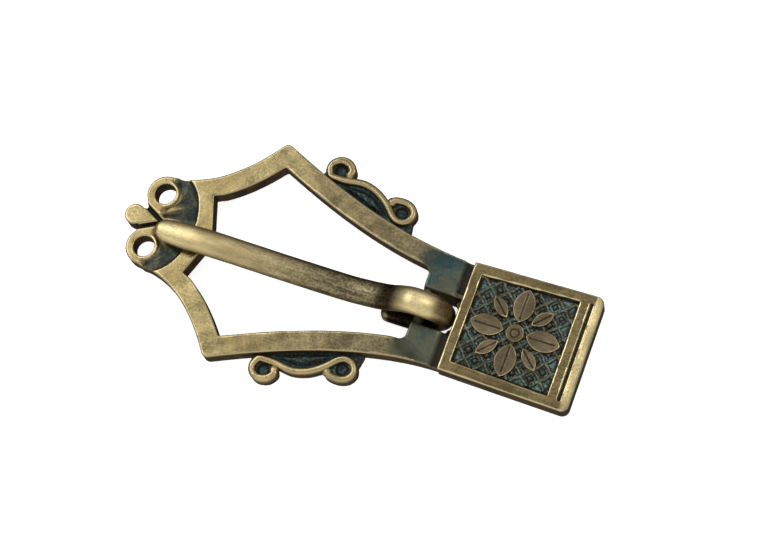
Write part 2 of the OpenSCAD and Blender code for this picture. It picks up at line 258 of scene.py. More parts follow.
# %% The frame's plan
head_turn, long_turn = (np.degrees(np.arctan2(-r[1], -r[0])) for r in (right_head, right_long))
corner_round = arc(round_centre, CORNER_R, head_turn, long_turn)
body_outline = np.vstack([[(HOLE[0] - 2.1, -3), (HOLE[0] - 2.1, BEAD_R)],
                          head_edge[head_edge[:, 0] < corner_round[0][0]], corner_round,
                          long_edge[long_edge[:, 0] > corner_round[-1][0]],
                          [(PLAQUE_X + 0.4, NECK_HALF), (PLAQUE_X + 0.4, -3)]])
NECK_CORNER_R = 1.1
bar_left = HINGE_X - BAR_R
arm_end = bar_left - NECK_CORNER_R
inner_at_end = np.interp(arm_end, long_inner[:, 0], long_inner[:, 1])
opening_outline = np.vstack([
    [(EDGE_X, -3), (EDGE_X, 0), (EDGE_X - EDGE_POINT, head_inner[0][1] - 0.6)],
    head_inner[head_inner[:, 0] < inner_corner[0]], [inner_corner],
    long_inner[(long_inner[:, 0] > inner_corner[0]) & (long_inner[:, 0] < arm_end)],
    arc((arm_end, inner_at_end - NECK_CORNER_R), NECK_CORNER_R, 90, 0), [(bar_left, -3)]])


def frame_plan(x, y):
    y = np.abs(y)
    body = polygon_distance(body_outline, x, y)
    lobe = np.hypot(x - HOLE[0], y - HOLE[1]) - LOBE_R
    bead = np.hypot(x - TIP_X - BEAD_R, y) - BEAD_R + 0.02
    neck = np.maximum(np.abs(x - TIP_X - 2.7) - 1.2, y - 1.3)
    d = merge(merge(body, lobe, 0.9), np.minimum(bead, neck), 0.25)
    d = np.maximum(d, -polygon_distance(opening_outline, x, y))
    d = np.maximum(d, HOLE_R - np.hypot(x - HOLE[0], y - HOLE[1]))
    slot = np.maximum(np.maximum(bar_left - 0.2 - x, x - PLAQUE_X), y - SLOT_HALF)
    return np.maximum(d, -slot)


# %% The frame's face
GROOVE_MEET = (HOLE[0] + 1.15, 0.1)
GROOVE_START = (TIP_X + 2.2, 2.1)
LEAF_C, LEAF_A, LEAF_B = HOLE[0] + 1.3, 5.05, 8.0
LEAF_DEPTH, GROOVE_DEPTH = 0.75, 0.8
neck_line = (np.array((bar_left - 0.6, 5.1)), np.array((PLAQUE_X - 0.3, 8.5)))


def leaf_depth(x, y):
    """Depth of the leaf recess: nothing at the hole's lobe, deepest along the raised band."""
    from_lobe = np.hypot(x - HOLE[0], y - HOLE[1]) - 2.05
    to_band = 1 - np.hypot((x - LEAF_C) / LEAF_A, y / LEAF_B)
    behind = ramp(x, HOLE[0] + 0.2, HOLE[0] + 1.4)
    share = np.clip(from_lobe / (np.clip(from_lobe, 0.01, None) + 2.4 * np.clip(to_band, 0, None)), 0, 1)
    angle = np.arctan2(y - 0.3, x - HOLE[0] + 1.2)
    cuts = np.sin(7.5 * angle + 0.5) ** 2
    hollow = LEAF_DEPTH * share ** 0.65 - 0.24 * cuts * ramp(from_lobe, 0.0, 1.5)
    return np.clip(hollow, 0, None) * behind * ramp(to_band, 0.0, 0.02)


def frame_top(x, y):
    y = np.abs(y)
    groove = line_distance([GROOVE_START, GROOVE_MEET], x, y)
    depth = leaf_depth(x, y)
    depth = np.maximum(depth, GROOVE_DEPTH * (1 - ramp(groove, 0.1, 0.42)))
    run = unit(neck_line[1] - neck_line[0])
    off_line = (y - neck_line[0][1]) * run[0] - (x - neck_line[0][0]) * run[1]
    facet = (1 - ramp(off_line, -0.4, 2.7)) * ramp(x, bar_left - 2.6, bar_left - 0.4)
    wall_crease = 0.55 * ramp(x, PLAQUE_X - 1.9, PLAQUE_X - 0.6)
    depth = np.maximum(depth, facet * (FACE_Z - NECK_Z - 0.1)) + wall_crease
    return FACE_Z - 0.03 - depth + unevenness(x, y)



# %% The hinge bar and the metal round the slot
HOOK_Y = -0.32
WALL_TOP = NECK_Z - 0.15


def hinge_bar(x, y, z):
    """The bar across the slot, the slot's two sloping side walls and a low ledge behind the hook."""
    bar = np.maximum(np.hypot(x - HINGE_X, z - AXIS_Z) - BAR_R, np.abs(y) - SLOT_HALF - 0.5)
    rise = np.clip((z - BASE_Z) / (NECK_Z - BASE_Z), 0, 1)
    slopes = np.minimum(1.85 + 1.0 * rise - y, y - tongue_low[1] + 0.12 + 0.3 * rise)
    sides = np.maximum(slopes, np.maximum(HINGE_X + 0.3 - x, z - WALL_TOP))
    sides = np.maximum(sides, np.abs(y) - SLOT_HALF - 0.6)
    off_hook = np.clip(np.abs(y - HOOK_Y) / (tongue_high[1] - HOOK_Y), 0, 1)
    hook_back = tongue_high[0] + 0.13 - 0.42 * off_hook ** 2 - 0.3 * ramp(off_hook, 0.8, 1)
    ledge = np.maximum(np.maximum(hook_back - x, z - AXIS_Z - 0.2), np.abs(y) - SLOT_HALF - 0.1)
    wall = np.maximum(np.minimum(sides, ledge), np.maximum(x - PLAQUE_X - 0.3, BASE_Z - 0.35 - z))
    return np.minimum(bar, wall)


frame_piece = cast("frame_casting", frame_plan, frame_top,
                   (TIP_X, -arm_high[1], BASE_Z - 0.35), (PLAQUE_X + 0.4, arm_high[1], FACE_Z),
                   0.15, 0.16, bottom=BASE_Z, also=hinge_bar)

# %% [markdown]
# ## Plaque
# The plaque is a slab with a rim. Its recess has almost upright walls, and a plain line is cut
# across the end band. The same two maps shape it, on a finer grid because the detail is small.

# %% The plaque's plan and face
RIM_W, END_BAND_W = 1.6, 3.5
RECESS_D = 0.75
recess_x0, recess_x1 = PLAQUE_X + RIM_W, END_X - END_BAND_W
recess_neck, recess_end = PLAQUE_NECK_HALF - RIM_W - 0.1, PLAQUE_END_HALF - RIM_W
recess_outline = np.array([(recess_x0, -recess_neck), (recess_x1, -recess_end),
                           (recess_x1, recess_end), (recess_x0, recess_neck)])
LINE_X, LINE_HALF = END_X - 1.72, 7.45


def plaque_plan(x, y):
    r = 1.2
    half = PLAQUE_NECK_HALF + (PLAQUE_END_HALF - PLAQUE_NECK_HALF) * (x - PLAQUE_X) / (END_X - PLAQUE_X)
    past_end, past_side = x - END_X + 0.02 + r, np.abs(y) - half + r
    d = np.minimum(np.maximum(past_end, past_side), 0) - r
    d = d + np.hypot(np.maximum(past_end, 0), np.maximum(past_side, 0))
    return np.maximum(d, PLAQUE_X - x)


def plaque_top(x, y):
    recess = polygon_distance(recess_outline, x, y)
    line = np.hypot(x - LINE_X, np.clip(np.abs(y) - LINE_HALF, 0, None))
    depth = np.maximum(RECESS_D * ramp(-recess, -0.05, 0.18), 0.32 * (1 - ramp(line, 0.06, 0.32)))
    end_drop = 0.35 * ramp(x, END_X - 1.4, END_X)
    side_drop = 0.1 * ramp(np.abs(y), PLAQUE_END_HALF - 1.3, PLAQUE_END_HALF)
    return FACE_Z - 0.02 - depth - (end_drop + side_drop) + unevenness(x, y, 0.015)


plaque_piece = cast("plaque_casting", plaque_plan, plaque_top, tuple(plaque_low), tuple(plaque_high),
                    0.13, 0.2)

# %% [markdown]
# ## The raised ornament
# Four large and four small pointed leaves round a boss stand at the height of the rim. Each leaf
# is the overlap of two equal circles, so its outline is exact, and a shallow vein keeps the flat
# tops from looking punched out.

# %% Eight leaves and a boss
LEAF_LEN, LEAF_W, SMALL_LEN, SMALL_W = 5.2, 3.2, 3.8, 1.9
BOSS_R = LEAF_W * 0.42
ORNAMENT_X = (recess_x0 + recess_x1) / 2


def each_leaf(x, y):
    """Every leaf's own length, width and the place of a point along and across it."""
    for turn in range(8):
        c, s = math.cos(turn * math.pi / 4), math.sin(turn * math.pi / 4)
        start, length, wide = (1.3, SMALL_LEN, SMALL_W) if turn % 2 else (0.35, LEAF_LEN, LEAF_W)
        u = (x - ORNAMENT_X) * c + y * s - BOSS_R - start
        yield length, wide, u, np.abs(y * c - (x - ORNAMENT_X) * s)


def ornament_plan(x, y):
    d = np.hypot(x - ORNAMENT_X, y) - BOSS_R
    for length, wide, u, v in each_leaf(x, y):
        r = (length * length + wide * wide) / (4 * wide)
        d = np.minimum(d, np.hypot(u - length / 2, v + r - wide / 2) - r)
    return d


def ornament_top(x, y):
    carved = 0.12 * (1 - ramp(np.abs(np.hypot(x - ORNAMENT_X, y) - 0.62), 0.02, 0.2))
    for length, wide, u, v in each_leaf(x, y):
        on_vein = np.hypot(v, np.clip(np.abs(u - length * 0.48) - length * 0.36, 0, None))
        carved = np.maximum(carved, 0.13 * (1 - ramp(on_vein, 0.02, 0.2)))
    return FACE_Z - 0.03 - carved + unevenness(x, y, 0.015)


ornament_piece = cast("plaque_leaves", ornament_plan, ornament_top,
                      (recess_x0, -7.3, FACE_Z - RECESS_D - 0.1), (recess_x1, 7.3, FACE_Z), 0.08, 0.14)

# %% [markdown]
# ## Nodes written as Python
# Both the repeated shapes and the metal need node trees. Two small classes keep those trees
# readable: one makes a node from its type, settings and values, and one wraps a socket so that
# ordinary sums add the Math nodes.


# %% Node helpers
class Wire:
    """A value that flows between nodes."""

    def __init__(self, nodes, socket):
        self.nodes, self.socket = nodes, socket

    def maths(self, operation, a, b=0.0):
        return self.nodes.make("ShaderNodeMath", {"operation": operation}, {0: a, 1: b})

    def __add__(self, other):
        return self.maths("ADD", self, other)

    def __sub__(self, other):
        return self.maths("SUBTRACT", self, other)

    def __rsub__(self, other):
        return self.maths("SUBTRACT", other, self)

    def __mul__(self, other):
        return self.maths("MULTIPLY", self, other)

    def __truediv__(self, other):
        return self.maths("DIVIDE", self, other)

    __radd__, __rmul__ = __add__, __mul__

    def between(self, low, high):
        """0 at low and 1 at high, with soft ends."""
        return self.nodes.make("ShaderNodeMapRange", {"interpolation_type": "SMOOTHSTEP"},
                               {"Value": self, "From Min": low, "From Max": high})


class Nodes:
    """Makes nodes in one tree, geometry or material."""

    def __init__(self, tree):
        self.tree = tree

    def make(self, kind, settings=None, values=None, output=0):
        node = self.tree.nodes.new(kind)
        for name, value in (settings or {}).items():
            setattr(node, name, value)
        for name, value in (values or {}).items():
            if isinstance(value, Wire):
                self.tree.links.new(value.socket, node.inputs[name])
            else:
                node.inputs[name].default_value = value
        return Wire(self, node.outputs[output])

    def mix(self, share, a, b):
        """A colour that goes from a to b as share goes from 0 to 1."""
        a, b = ((*c, 1) if isinstance(c, tuple) else c for c in (a, b))
        return self.make("ShaderNodeMix", {"data_type": "RGBA"}, {0: share, 6: a, 7: b}, 2)

    def axis(self, place, i):
        """One number of a place: 0 for x, 1 for y, 2 for z."""
        return self.make("ShaderNodeSeparateXYZ", None, {0: place}, i)

    def vector(self, *parts):
        return self.make("ShaderNodeCombineXYZ", None, dict(enumerate(parts)))

    def attribute(self, name):
        return self.make("ShaderNodeAttribute", {"attribute_name": name}, output=2)


# %% Growing a plain mesh from a geometry tree
def grow(name, seed_mesh, build, inputs):
    """Runs a geometry tree once on a seed mesh and returns the finished plain mesh object."""
    tree = bpy.data.node_groups.new(name, "GeometryNodeTree")
    tree.interface.new_socket("Geometry", in_out="INPUT", socket_type="NodeSocketGeometry")
    tree.interface.new_socket("Geometry", in_out="OUTPUT", socket_type="NodeSocketGeometry")
    for label in inputs:
        tree.interface.new_socket(label, in_out="INPUT", socket_type="NodeSocketFloat")
    nodes = Nodes(tree)
    entry = tree.nodes.new("NodeGroupInput")
    given = {s.name: Wire(nodes, s) for s in entry.outputs if s.name}
    shape = nodes.make("GeometryNodeRealizeInstances", None, {"Geometry": build(nodes, given)})
    shape = nodes.make("GeometryNodeSetShadeSmooth", None, {"Geometry": shape, "Shade Smooth": True})
    shape = nodes.make("GeometryNodeSetMaterial", None, {"Geometry": shape, "Material": None})
    tree.links.new(shape.socket, tree.nodes.new("NodeGroupOutput").inputs[0])
    seed = bpy.data.objects.new(name + "_seed", seed_mesh)
    bpy.context.scene.collection.objects.link(seed)
    modifier = seed.modifiers.new("grow", "NODES")
    modifier.node_group = tree
    for item in tree.interface.items_tree:
        if item.in_out == "INPUT" and item.name in inputs:
            modifier[item.identifier] = float(inputs[item.name])
    grown = seed.evaluated_get(bpy.context.evaluated_depsgraph_get())
    mesh = bpy.data.meshes.new_from_object(grown)
    mesh.name = name
    bpy.data.objects.remove(seed)
    piece = bpy.data.objects.new(name, mesh)
    bpy.context.scene.collection.objects.link(piece)
    co = np.array([v.co for v in mesh.vertices]) / MM
    print(name, len(mesh.vertices), "points", co.min(0).round(2), co.max(0).round(2))
    return piece


# %% [markdown]
# ## The ground of the plaque
# Behind the leaves the real ground is a rough diagonal lattice with a little pyramid in each
# cell. It repeats, so a geometry tree makes it: a grid turned by 45 degrees gives the ridges
# from its edges and the pyramids from its cells. Noise makes the lines waver as if cut by hand.

# %% Lattice ridges and pyramids
LATTICE_PITCH, RIDGE_W, RIDGE_H = 2.0, 0.62, 0.42
RECESS_FLOOR = FACE_Z - RECESS_D


def lattice_tree(n, given):
    pitch, width, height = given["Pitch"], given["Ridge width"], given["Ridge height"]
    cells = 16
    grid = n.make("GeometryNodeMeshGrid", None,
                  {"Size X": pitch * cells, "Size Y": pitch * cells,
                   "Vertices X": cells + 1, "Vertices Y": cells + 1})
    middle = n.vector(given["Middle X"], 0.0, given["Floor Z"])
    grid = n.make("GeometryNodeTransform", None,
                  {"Geometry": grid, "Translation": middle, "Rotation": (0, 0, math.radians(45))})
    place = n.make("GeometryNodeInputPosition")
    spot = n.axis(place, 0)
    across = n.axis(place, 1)
    from_middle = (spot - given["Middle X"]).maths("ABSOLUTE", spot - given["Middle X"])
    far_x = from_middle.maths("GREATER_THAN", from_middle, given["Half length"])
    far_y = across.maths("GREATER_THAN", across.maths("ABSOLUTE", across), given["Half width"])
    outside = far_x + far_y
    lines = n.make("GeometryNodeMeshToCurve", None, {"Mesh": grid})
    lines = n.make("GeometryNodeResampleCurve", {"mode": "LENGTH"}, {"Curve": lines, "Length": 0.00016})
    waver = n.make("ShaderNodeTexNoise", None, {"Vector": place, "Scale": 900.0, "Detail": 1.0}, 1)
    waver = n.make("ShaderNodeVectorMath", {"operation": "SUBTRACT"}, {0: waver, 1: (0.5, 0.5, 0.5)})
    waver = n.make("ShaderNodeVectorMath", {"operation": "MULTIPLY"}, {0: waver, 1: (0.0005, 0.0005, 0.0002)})
    lines = n.make("GeometryNodeSetPosition", None, {"Geometry": lines, "Offset": waver})
    lines = n.make("GeometryNodeDeleteGeometry", {"domain": "POINT"},
                   {"Geometry": lines, "Selection": outside})
    swell = n.make("ShaderNodeTexNoise", None, {"Vector": place, "Scale": 700.0, "Detail": 1.0})
    lines = n.make("GeometryNodeSetCurveNormal", {"mode": "Z_UP"}, {"Curve": lines})
    ridge = n.make("GeometryNodeCurvePrimitiveCircle", None, {"Resolution": 10, "Radius": 1.0})
    size = n.vector(width / 2, height, 1.0)
    ridge = n.make("GeometryNodeTransform", None, {"Geometry": ridge, "Scale": size})
    ridges = n.make("GeometryNodeCurveToMesh", None,
                    {"Curve": lines, "Profile Curve": ridge, "Scale": 0.7 + swell * 0.6, "Fill Caps": True})
    pyramid = n.make("GeometryNodeMeshCone", {"fill_type": "NGON"},
                     {"Vertices": 4, "Radius Bottom": pitch * 0.36, "Radius Top": pitch * 0.06,
                      "Depth": height * 0.95})
    centres = n.make("GeometryNodeDualMesh", None, {"Mesh": grid, "Keep Boundaries": False})
    near_x = from_middle.maths("GREATER_THAN", from_middle, given["Half length"] - 0.0006)
    near_y = across.maths("GREATER_THAN", across.maths("ABSOLUTE", across), given["Half width"] - 0.0006)
    centres = n.make("GeometryNodeDeleteGeometry", {"domain": "POINT"},
                     {"Geometry": centres, "Selection": near_x + near_y})
    sizes = n.make("FunctionNodeRandomValue", {"data_type": "FLOAT"}, {2: 0.75, 3: 1.15, "Seed": 5}, 1)
    pyramids = n.make("GeometryNodeInstanceOnPoints", None,
                      {"Points": centres, "Instance": pyramid, "Scale": sizes})
    joined = n.tree.nodes.new("GeometryNodeJoinGeometry")
    for part in (ridges, pyramids):
        n.tree.links.new(part.socket, joined.inputs[0])
    return Wire(n, joined.outputs[0])


empty = bpy.data.meshes.new("lattice_start")
ground_piece = grow("plaque_ground", empty, lattice_tree, {
    "Pitch": LATTICE_PITCH * MM, "Ridge width": RIDGE_W * MM, "Ridge height": RIDGE_H * MM,
    "Middle X": ORNAMENT_X * MM, "Floor Z": RECESS_FLOOR * MM,
    "Half length": ((recess_x1 - recess_x0) / 2 + 0.05) * MM, "Half width": (recess_neck + 0.05) * MM})

# %% [markdown]
# ## Side scrolls
# Each scroll has a sunk floor with two dark pits, a low pointed leaf beside the rail, and a
# ribbon that curls over each pit. Everything is placed along the rail's own bow: u runs along
# the rail and v stands off it, so the scroll follows the rail.

# %% Scroll floors
SCROLL_T = 0.4
long_len = 2 * np.linalg.norm((1 - SCROLL_T) * np.subtract(long_pull, corner)
                              + SCROLL_T * np.subtract(neck_end, long_pull))
RIBBON_Z, SCROLL_Z = FACE_Z - 0.6, FACE_Z - 1.4
RIBBON_W = 1.12


def beside_rail(points):
    """Plan points from their place along the rail and their distance off it."""
    return np.vstack([bow(corner, long_pull, neck_end, -v, t, t, 1)
                      for u, v in points for t in [SCROLL_T + u / long_len]])


near_pit, far_pit = beside_rail([(-7.0, 2.25), (4.84, 2.36)])
curl_points = [(-7.3, 0.55), (-8.2, 1.1), (-8.5, 2.3), (-7.8, 3.5), (-6.5, 3.8), (-5.5, 3.2), (-5.45, 2.5)]
ribbon_points = [(-8.35, 1.4), (-7.5, 0.6), (-6.4, 0.95), (-5.2, 1.5), (-3.56, 2.45), (-2.24, 2.87),
                 (-0.49, 2.89), (1.22, 2.48), (2.75, 1.82), (4.09, 1.08), (5.38, 0.89),
                 (6.56, 1.57), (6.9, 2.88), (5.98, 3.81), (4.47, 3.98), (2.96, 3.49), (2.51, 2.95)]
ribbon_line = beside_rail(smooth_line(ribbon_points, 6))
curl_line = beside_rail(smooth_line(curl_points, 6))
floor_line = beside_rail([(-8.6, 0.7), (-8.6, -0.5), (8.3, -0.5), (8.2, 0.3), (7.4, 2.0)])
floor_outline = np.vstack([floor_line, ribbon_line[:66][::-1]])
lens_points = [(-5.5, 0.45), (-3.7, 1.25), (-2.0, 1.85), (-0.3, 1.85), (1.4, 1.4), (3.3, 0.5)]
lens_line = beside_rail(smooth_line(lens_points, 6))
lens_low = beside_rail([(3.3, 0.5), (1.2, 0.32), (-1.2, 0.32), (-5.5, 0.45)])
lens_outline = np.vstack([lens_line, lens_low[1:-1]])
inside_rail = np.vstack([long_edge, [(PLAQUE_X, 0), (0, 0)]])
print("pits", near_pit.round(2), far_pit.round(2))


def scroll_plan_of(side):
    def plan(x, y):
        y = y * side
        d = np.minimum(polygon_distance(floor_outline, x, y), line_distance(ribbon_line, x, y) - RIBBON_W / 2)
        d = np.minimum(d, line_distance(curl_line, x, y) - RIBBON_W / 2)
        for pit in (near_pit, far_pit):
            d = np.minimum(d, np.hypot(x - pit[0], y - pit[1]) - 1.7)
        return np.maximum(d, -polygon_distance(inside_rail, x, y) - 0.5)
    return plan


def scroll_top_of(side):
    def top(x, y):
        y = y * side
        pits = np.minimum(*(np.hypot(x - p[0], y - p[1]) for p in (near_pit, far_pit)))
        lens = polygon_distance(lens_outline, x, y)
        rise = 0.62 * ramp(-lens, -0.1, 0.6) + 0.06 * np.sin(5 * x + 2 * y) * ramp(-lens, 0.1, 0.5)
        return SCROLL_Z - 0.5 * (1 - ramp(pits, 0.75, 1.05)) + rise + unevenness(x, y, 0.02)
    return top


plate_low, plate_high = corners("upper_scroll_plate")
scroll_plates = {}
for side, label in ((1, "upper"), (-1, "lower")):
    low = np.array([plate_low[0] - 0.2, min(side * plate_low[1], side * plate_high[1]) - 0.2, BASE_Z])
    high = np.array([plate_high[0] + 0.2, max(side * plate_low[1], side * plate_high[1]) + 0.2, RIBBON_Z])
    scroll_plates[label] = cast(label + "_scroll_floor", scroll_plan_of(side), scroll_top_of(side),
                                low, high, 0.1, 0.12)

# %% [markdown]
# The ribbon follows a path, so a geometry tree sweeps a rounded bar along it. Each end swells
# into a small bulb, which is a domed disc set on the end of the path.


# %% Scroll ribbons
def seed_path(name, lines, **marks):
    """A mesh of loose lines, with numbers stored on their points."""
    mesh = bpy.data.meshes.new(name)
    joins, start = [], 0
    for line in lines:
        joins += [(i, i + 1) for i in range(start, start + len(line) - 1)]
        start += len(line)
    mesh.from_pydata((np.vstack(lines) * MM).tolist(), joins, [])
    for mark, values in marks.items():
        mesh.attributes.new(mark, "FLOAT", "POINT").data.foreach_set("value", np.asarray(values, np.float32))
    return mesh


def ribbon_tree(n, given):
    width, height = given["Ribbon width"], given["Ribbon height"]
    line = n.make("GeometryNodeMeshToCurve", None, {"Mesh": given["Geometry"]})
    line = n.make("GeometryNodeResampleCurve", {"mode": "LENGTH"}, {"Curve": line, "Length": 0.00012})
    line = n.make("GeometryNodeSetCurveNormal", {"mode": "Z_UP"}, {"Curve": line})
    bar = n.make("GeometryNodeCurvePrimitiveQuadrilateral", None, {"Width": width, "Height": height})
    bar = n.make("GeometryNodeFilletCurve", {"mode": "POLY"},
                 {"Curve": bar, "Count": 6, "Radius": width * 0.42})
    bar = n.make("GeometryNodeResampleCurve", {"mode": "LENGTH"}, {"Curve": bar, "Length": 0.00014})
    swell = n.make("GeometryNodeInputNamedAttribute", {"data_type": "FLOAT"}, {"Name": "swell"})
    swept = n.make("GeometryNodeCurveToMesh", None,
                   {"Curve": line, "Profile Curve": bar, "Scale": swell, "Fill Caps": True})
    ends = n.make("GeometryNodeCurveEndpointSelection", None, {"Start Size": 0, "End Size": 1})
    bulb = n.make("GeometryNodeMeshUVSphere", None, {"Segments": 24, "Rings": 14, "Radius": 1.0})
    bulb_size = n.vector(width * 0.66, width * 0.66, height * 0.5)
    bulb = n.make("GeometryNodeTransform", None, {"Geometry": bulb, "Scale": bulb_size})
    bulbs = n.make("GeometryNodeInstanceOnPoints", None,
                   {"Points": line, "Selection": ends, "Instance": bulb})
    joined = n.tree.nodes.new("GeometryNodeJoinGeometry")
    for part in (swept, bulbs):
        n.tree.links.new(part.socket, joined.inputs[0])
    place = n.make("GeometryNodeInputPosition")
    x, y, z = (n.axis(place, i) for i in range(3))
    level = z.maths("MINIMUM", z, given["Ribbon top"])
    flat = n.vector(x, y, level)
    return n.make("GeometryNodeSetPosition", None, {"Geometry": Wire(n, joined.outputs[0]), "Position": flat})


RIBBON_H = RIBBON_Z - SCROLL_Z + 0.5
along_curl = np.linspace(0, 1, len(curl_line))
swell = np.concatenate([np.interp(along_curl, [0, 0.35, 0.6, 1], [0.9, 0.95, 1.15, 1.05]),
                        np.ones(len(ribbon_line))])
ribbon_pieces = {}
for side, label in ((1, "upper"), (-1, "lower")):
    height = RIBBON_Z - RIBBON_H / 2
    lines = [np.column_stack([p[:, 0], p[:, 1] * side, np.full(len(p), height)])
             for p in (curl_line, ribbon_line)]
    seed = seed_path(label + "_paths", lines, swell=swell)
    ribbon_pieces[label] = grow(label + "_scroll_curl", seed, ribbon_tree,
                                {"Ribbon width": RIBBON_W * MM, "Ribbon height": RIBBON_H * MM,
                                 "Ribbon top": RIBBON_Z * MM})

# %% [markdown]
# ## Tongue
# The tongue is one bar with a rounded tip. It sags between the head and the hinge, rises over
# the hinge bar and hooks round it, and its thin tail lies under the frame. A bar along a path is
# a natural sweep, so a geometry tree makes it. The path carries its own width and thickness.

# %% The tongue's path
TONGUE_W, TONGUE_T, TAIL_T = 4.1, 2.5, 1.75
TURN, HOOK_OFFSET, TAIL_OFFSET = 1.5, -0.45, -1.0
half_t, tail_z = TONGUE_T / 2, TAIL_T / 2
tip_z = FACE_Z + 0.12 + half_t
low_z, crown_z = tip_z - 2.7, AXIS_Z + BAR_R + 1.75 + half_t
back_x = HINGE_X + BAR_R + 1.75 + half_t
stem = HINGE_X - EDGE_X
tongue_points = [
    (TIP_X + 6.1, tip_z - 0.02), (EDGE_X - 4, tip_z + 0.05), (EDGE_X + 1, tip_z - 0.1),
    (EDGE_X + stem * 0.37, tip_z - 1.67), (EDGE_X + stem * 0.67, low_z), (HINGE_X - 5.4, low_z + 0.95),
    (HINGE_X - 3.3, crown_z - 0.85), (HINGE_X - 0.9, crown_z), (HINGE_X + 2, crown_z - 0.75),
    (back_x - 0.15, AXIS_Z + 1.3), (back_x - 0.05, AXIS_Z - 0.7), (back_x - 1.5, tail_z + 0.45),
    (HINGE_X + 0.9, tail_z + 0.02), (HINGE_X - 0.6, tail_z), (HINGE_X - 2.4, tail_z + 0.12),
    (HINGE_X - 6.2, tail_z + 0.7)]
path = smooth_line(tongue_points, 30)
gaps = np.linalg.norm(np.diff(path, axis=0), axis=1)
run = np.concatenate([[0], np.cumsum(gaps)])
even = np.linspace(0, run[-1], int(run[-1] / 0.2))
near_tip = np.array([0.0, 0.01, 0.03, 0.06, 0.1, 0.15])
even = np.unique(np.concatenate([near_tip, even, run[-1] - near_tip]))
path_x, path_z = (np.interp(even, run, path[:, i]) for i in (0, 1))
eased = np.convolve(np.pad(path_z, 8, "edge"), np.ones(17) / 17, "valid")
saddle = ramp(path_x, HINGE_X - 12, HINGE_X - 9) * (1 - ramp(path_x, HINGE_X - 3.5, HINGE_X - 2))
path_z = path_z + saddle * (path_z > 3) * (eased - path_z)
to_go = run[-1] - even
tail_run = to_go[np.argmin(np.abs(path_z - AXIS_Z) + 99 * (path_x < HINGE_X + 1))]
in_tail = 1 - ramp(to_go, tail_run - 4.5, tail_run)
half_w = TONGUE_W / 2 - 0.3 * (1 - ramp(to_go, tail_run - 1, tail_run + 5))
round_tip = np.sqrt(np.clip(1 - (1 - np.clip(even / 2.05, 0, 1)) ** 2, 0.0004, 1))
round_nose = np.sqrt(np.clip(1 - (1 - np.clip(even / 0.9, 0, 1)) ** 2, 0.01, 1))
round_tail = np.sqrt(np.clip(1 - (1 - np.clip(to_go / 1.2, 0, 1)) ** 2, 0.02, 1))
thick = (TONGUE_T + (TAIL_T - TONGUE_T) * in_tail) * round_nose * round_tail
half_w = half_w * round_tip * round_tail * (0.87 + 0.13 * ramp(even, 0.5, 6))
lean = HOOK_OFFSET + TAIL_OFFSET * in_tail
print("tongue path", run[-1].round(2), "long")


# %% Sweeping the tongue
def tongue_tree(n, given):
    def mark(name):
        return n.make("GeometryNodeInputNamedAttribute", {"data_type": "FLOAT"}, {"Name": name})

    line = n.make("GeometryNodeMeshToCurve", None, {"Mesh": given["Geometry"]})
    line = n.make("GeometryNodeSetCurveNormal", {"mode": "FREE"}, {"Curve": line, "Normal": (0.0, 1.0, 0.0)})
    bar = n.make("GeometryNodeCurvePrimitiveQuadrilateral", None, {"Width": 2.0, "Height": 1.0})
    bar = n.make("GeometryNodeFilletCurve", {"mode": "POLY"},
                 {"Curve": bar, "Count": 6, "Radius": given["Edge round"]})
    bar = n.make("GeometryNodeResampleCurve", {"mode": "COUNT"}, {"Curve": bar, "Count": 56})
    place = n.make("GeometryNodeInputPosition")
    across = n.axis(place, 0)
    up = n.axis(place, 1)
    dome = up * (1 - given["Dome"] * across * across)
    domed = n.vector(across, dome, 0.0)
    bar = n.make("GeometryNodeSetPosition", None, {"Geometry": bar, "Position": domed})
    swept = n.make("GeometryNodeCurveToMesh", None,
                   {"Curve": line, "Profile Curve": bar, "Scale": mark("thick"), "Fill Caps": True})
    x = n.axis(place, 0)
    y = n.axis(place, 1)
    z = n.axis(place, 2)
    wide = y / mark("thick") * mark("half_w") + mark("lean")
    widened = n.vector(x, wide, z)
    swept = n.make("GeometryNodeSetPosition", None, {"Geometry": swept, "Position": widened})
    rough = n.make("ShaderNodeTexNoise", None, {"Vector": place, "Scale": 380.0, "Detail": 2.0}) - 0.5
    outward = n.make("GeometryNodeInputNormal")
    dent = n.make("ShaderNodeVectorMath", {"operation": "SCALE"},
                  {0: outward, "Scale": rough * 0.00008 - 0.00002})
    swept = n.make("GeometryNodeSetPosition", None, {"Geometry": swept, "Offset": dent})
    hinge_at = n.vector(given["Hinge X"], 0.0, 0.0)
    back = n.make("ShaderNodeVectorMath", {"operation": "SCALE"}, {0: hinge_at, "Scale": -1.0})
    swept = n.make("GeometryNodeTransform", None, {"Geometry": swept, "Translation": back})
    return n.make("GeometryNodeTransform", None,
                  {"Geometry": swept, "Translation": hinge_at, "Rotation": (0, 0, math.radians(TURN))})


tongue_seed = seed_path("tongue_path", [np.column_stack([path_x, 0 * path_x, path_z])],
                        thick=thick * MM, half_w=half_w * MM, lean=lean * MM)
tongue_piece = grow("tongue_bar", tongue_seed, tongue_tree,
                    {"Edge round": 0.47, "Dome": 0.42, "Hinge X": HINGE_X * MM})

# %% [markdown]
# ## Where metal rubs and shines, and where shade falls
# On the real buckle the high edges are rubbed bright, and creases and hollows are dark. Here the
# bright edges are partly rubbed metal and partly a painted highlight, the creases get painted
# shade, and the hollows hold teal patina with a little painted shade. Edges and creases follow
# from the shape: smoothing the mesh and comparing it with itself tells an edge from a crease. The
# dull ground of the leaf recess follows from its place. The answers are stored on the points, so
# the metal can read them from any side.


# %% Marking edges, creases, walls and depth
def neighbour_mean(values, ends, rounds):
    count = len(values)
    links = np.maximum(np.bincount(ends.ravel(), minlength=count), 1)
    for _ in range(rounds):
        total = [np.bincount(ends[:, 0], c[ends[:, 1]], count) + np.bincount(ends[:, 1], c[ends[:, 0]], count)
                 for c in values.T]
        values = 0.5 * values + 0.5 * np.stack(total, 1) / links[:, None]
    return values


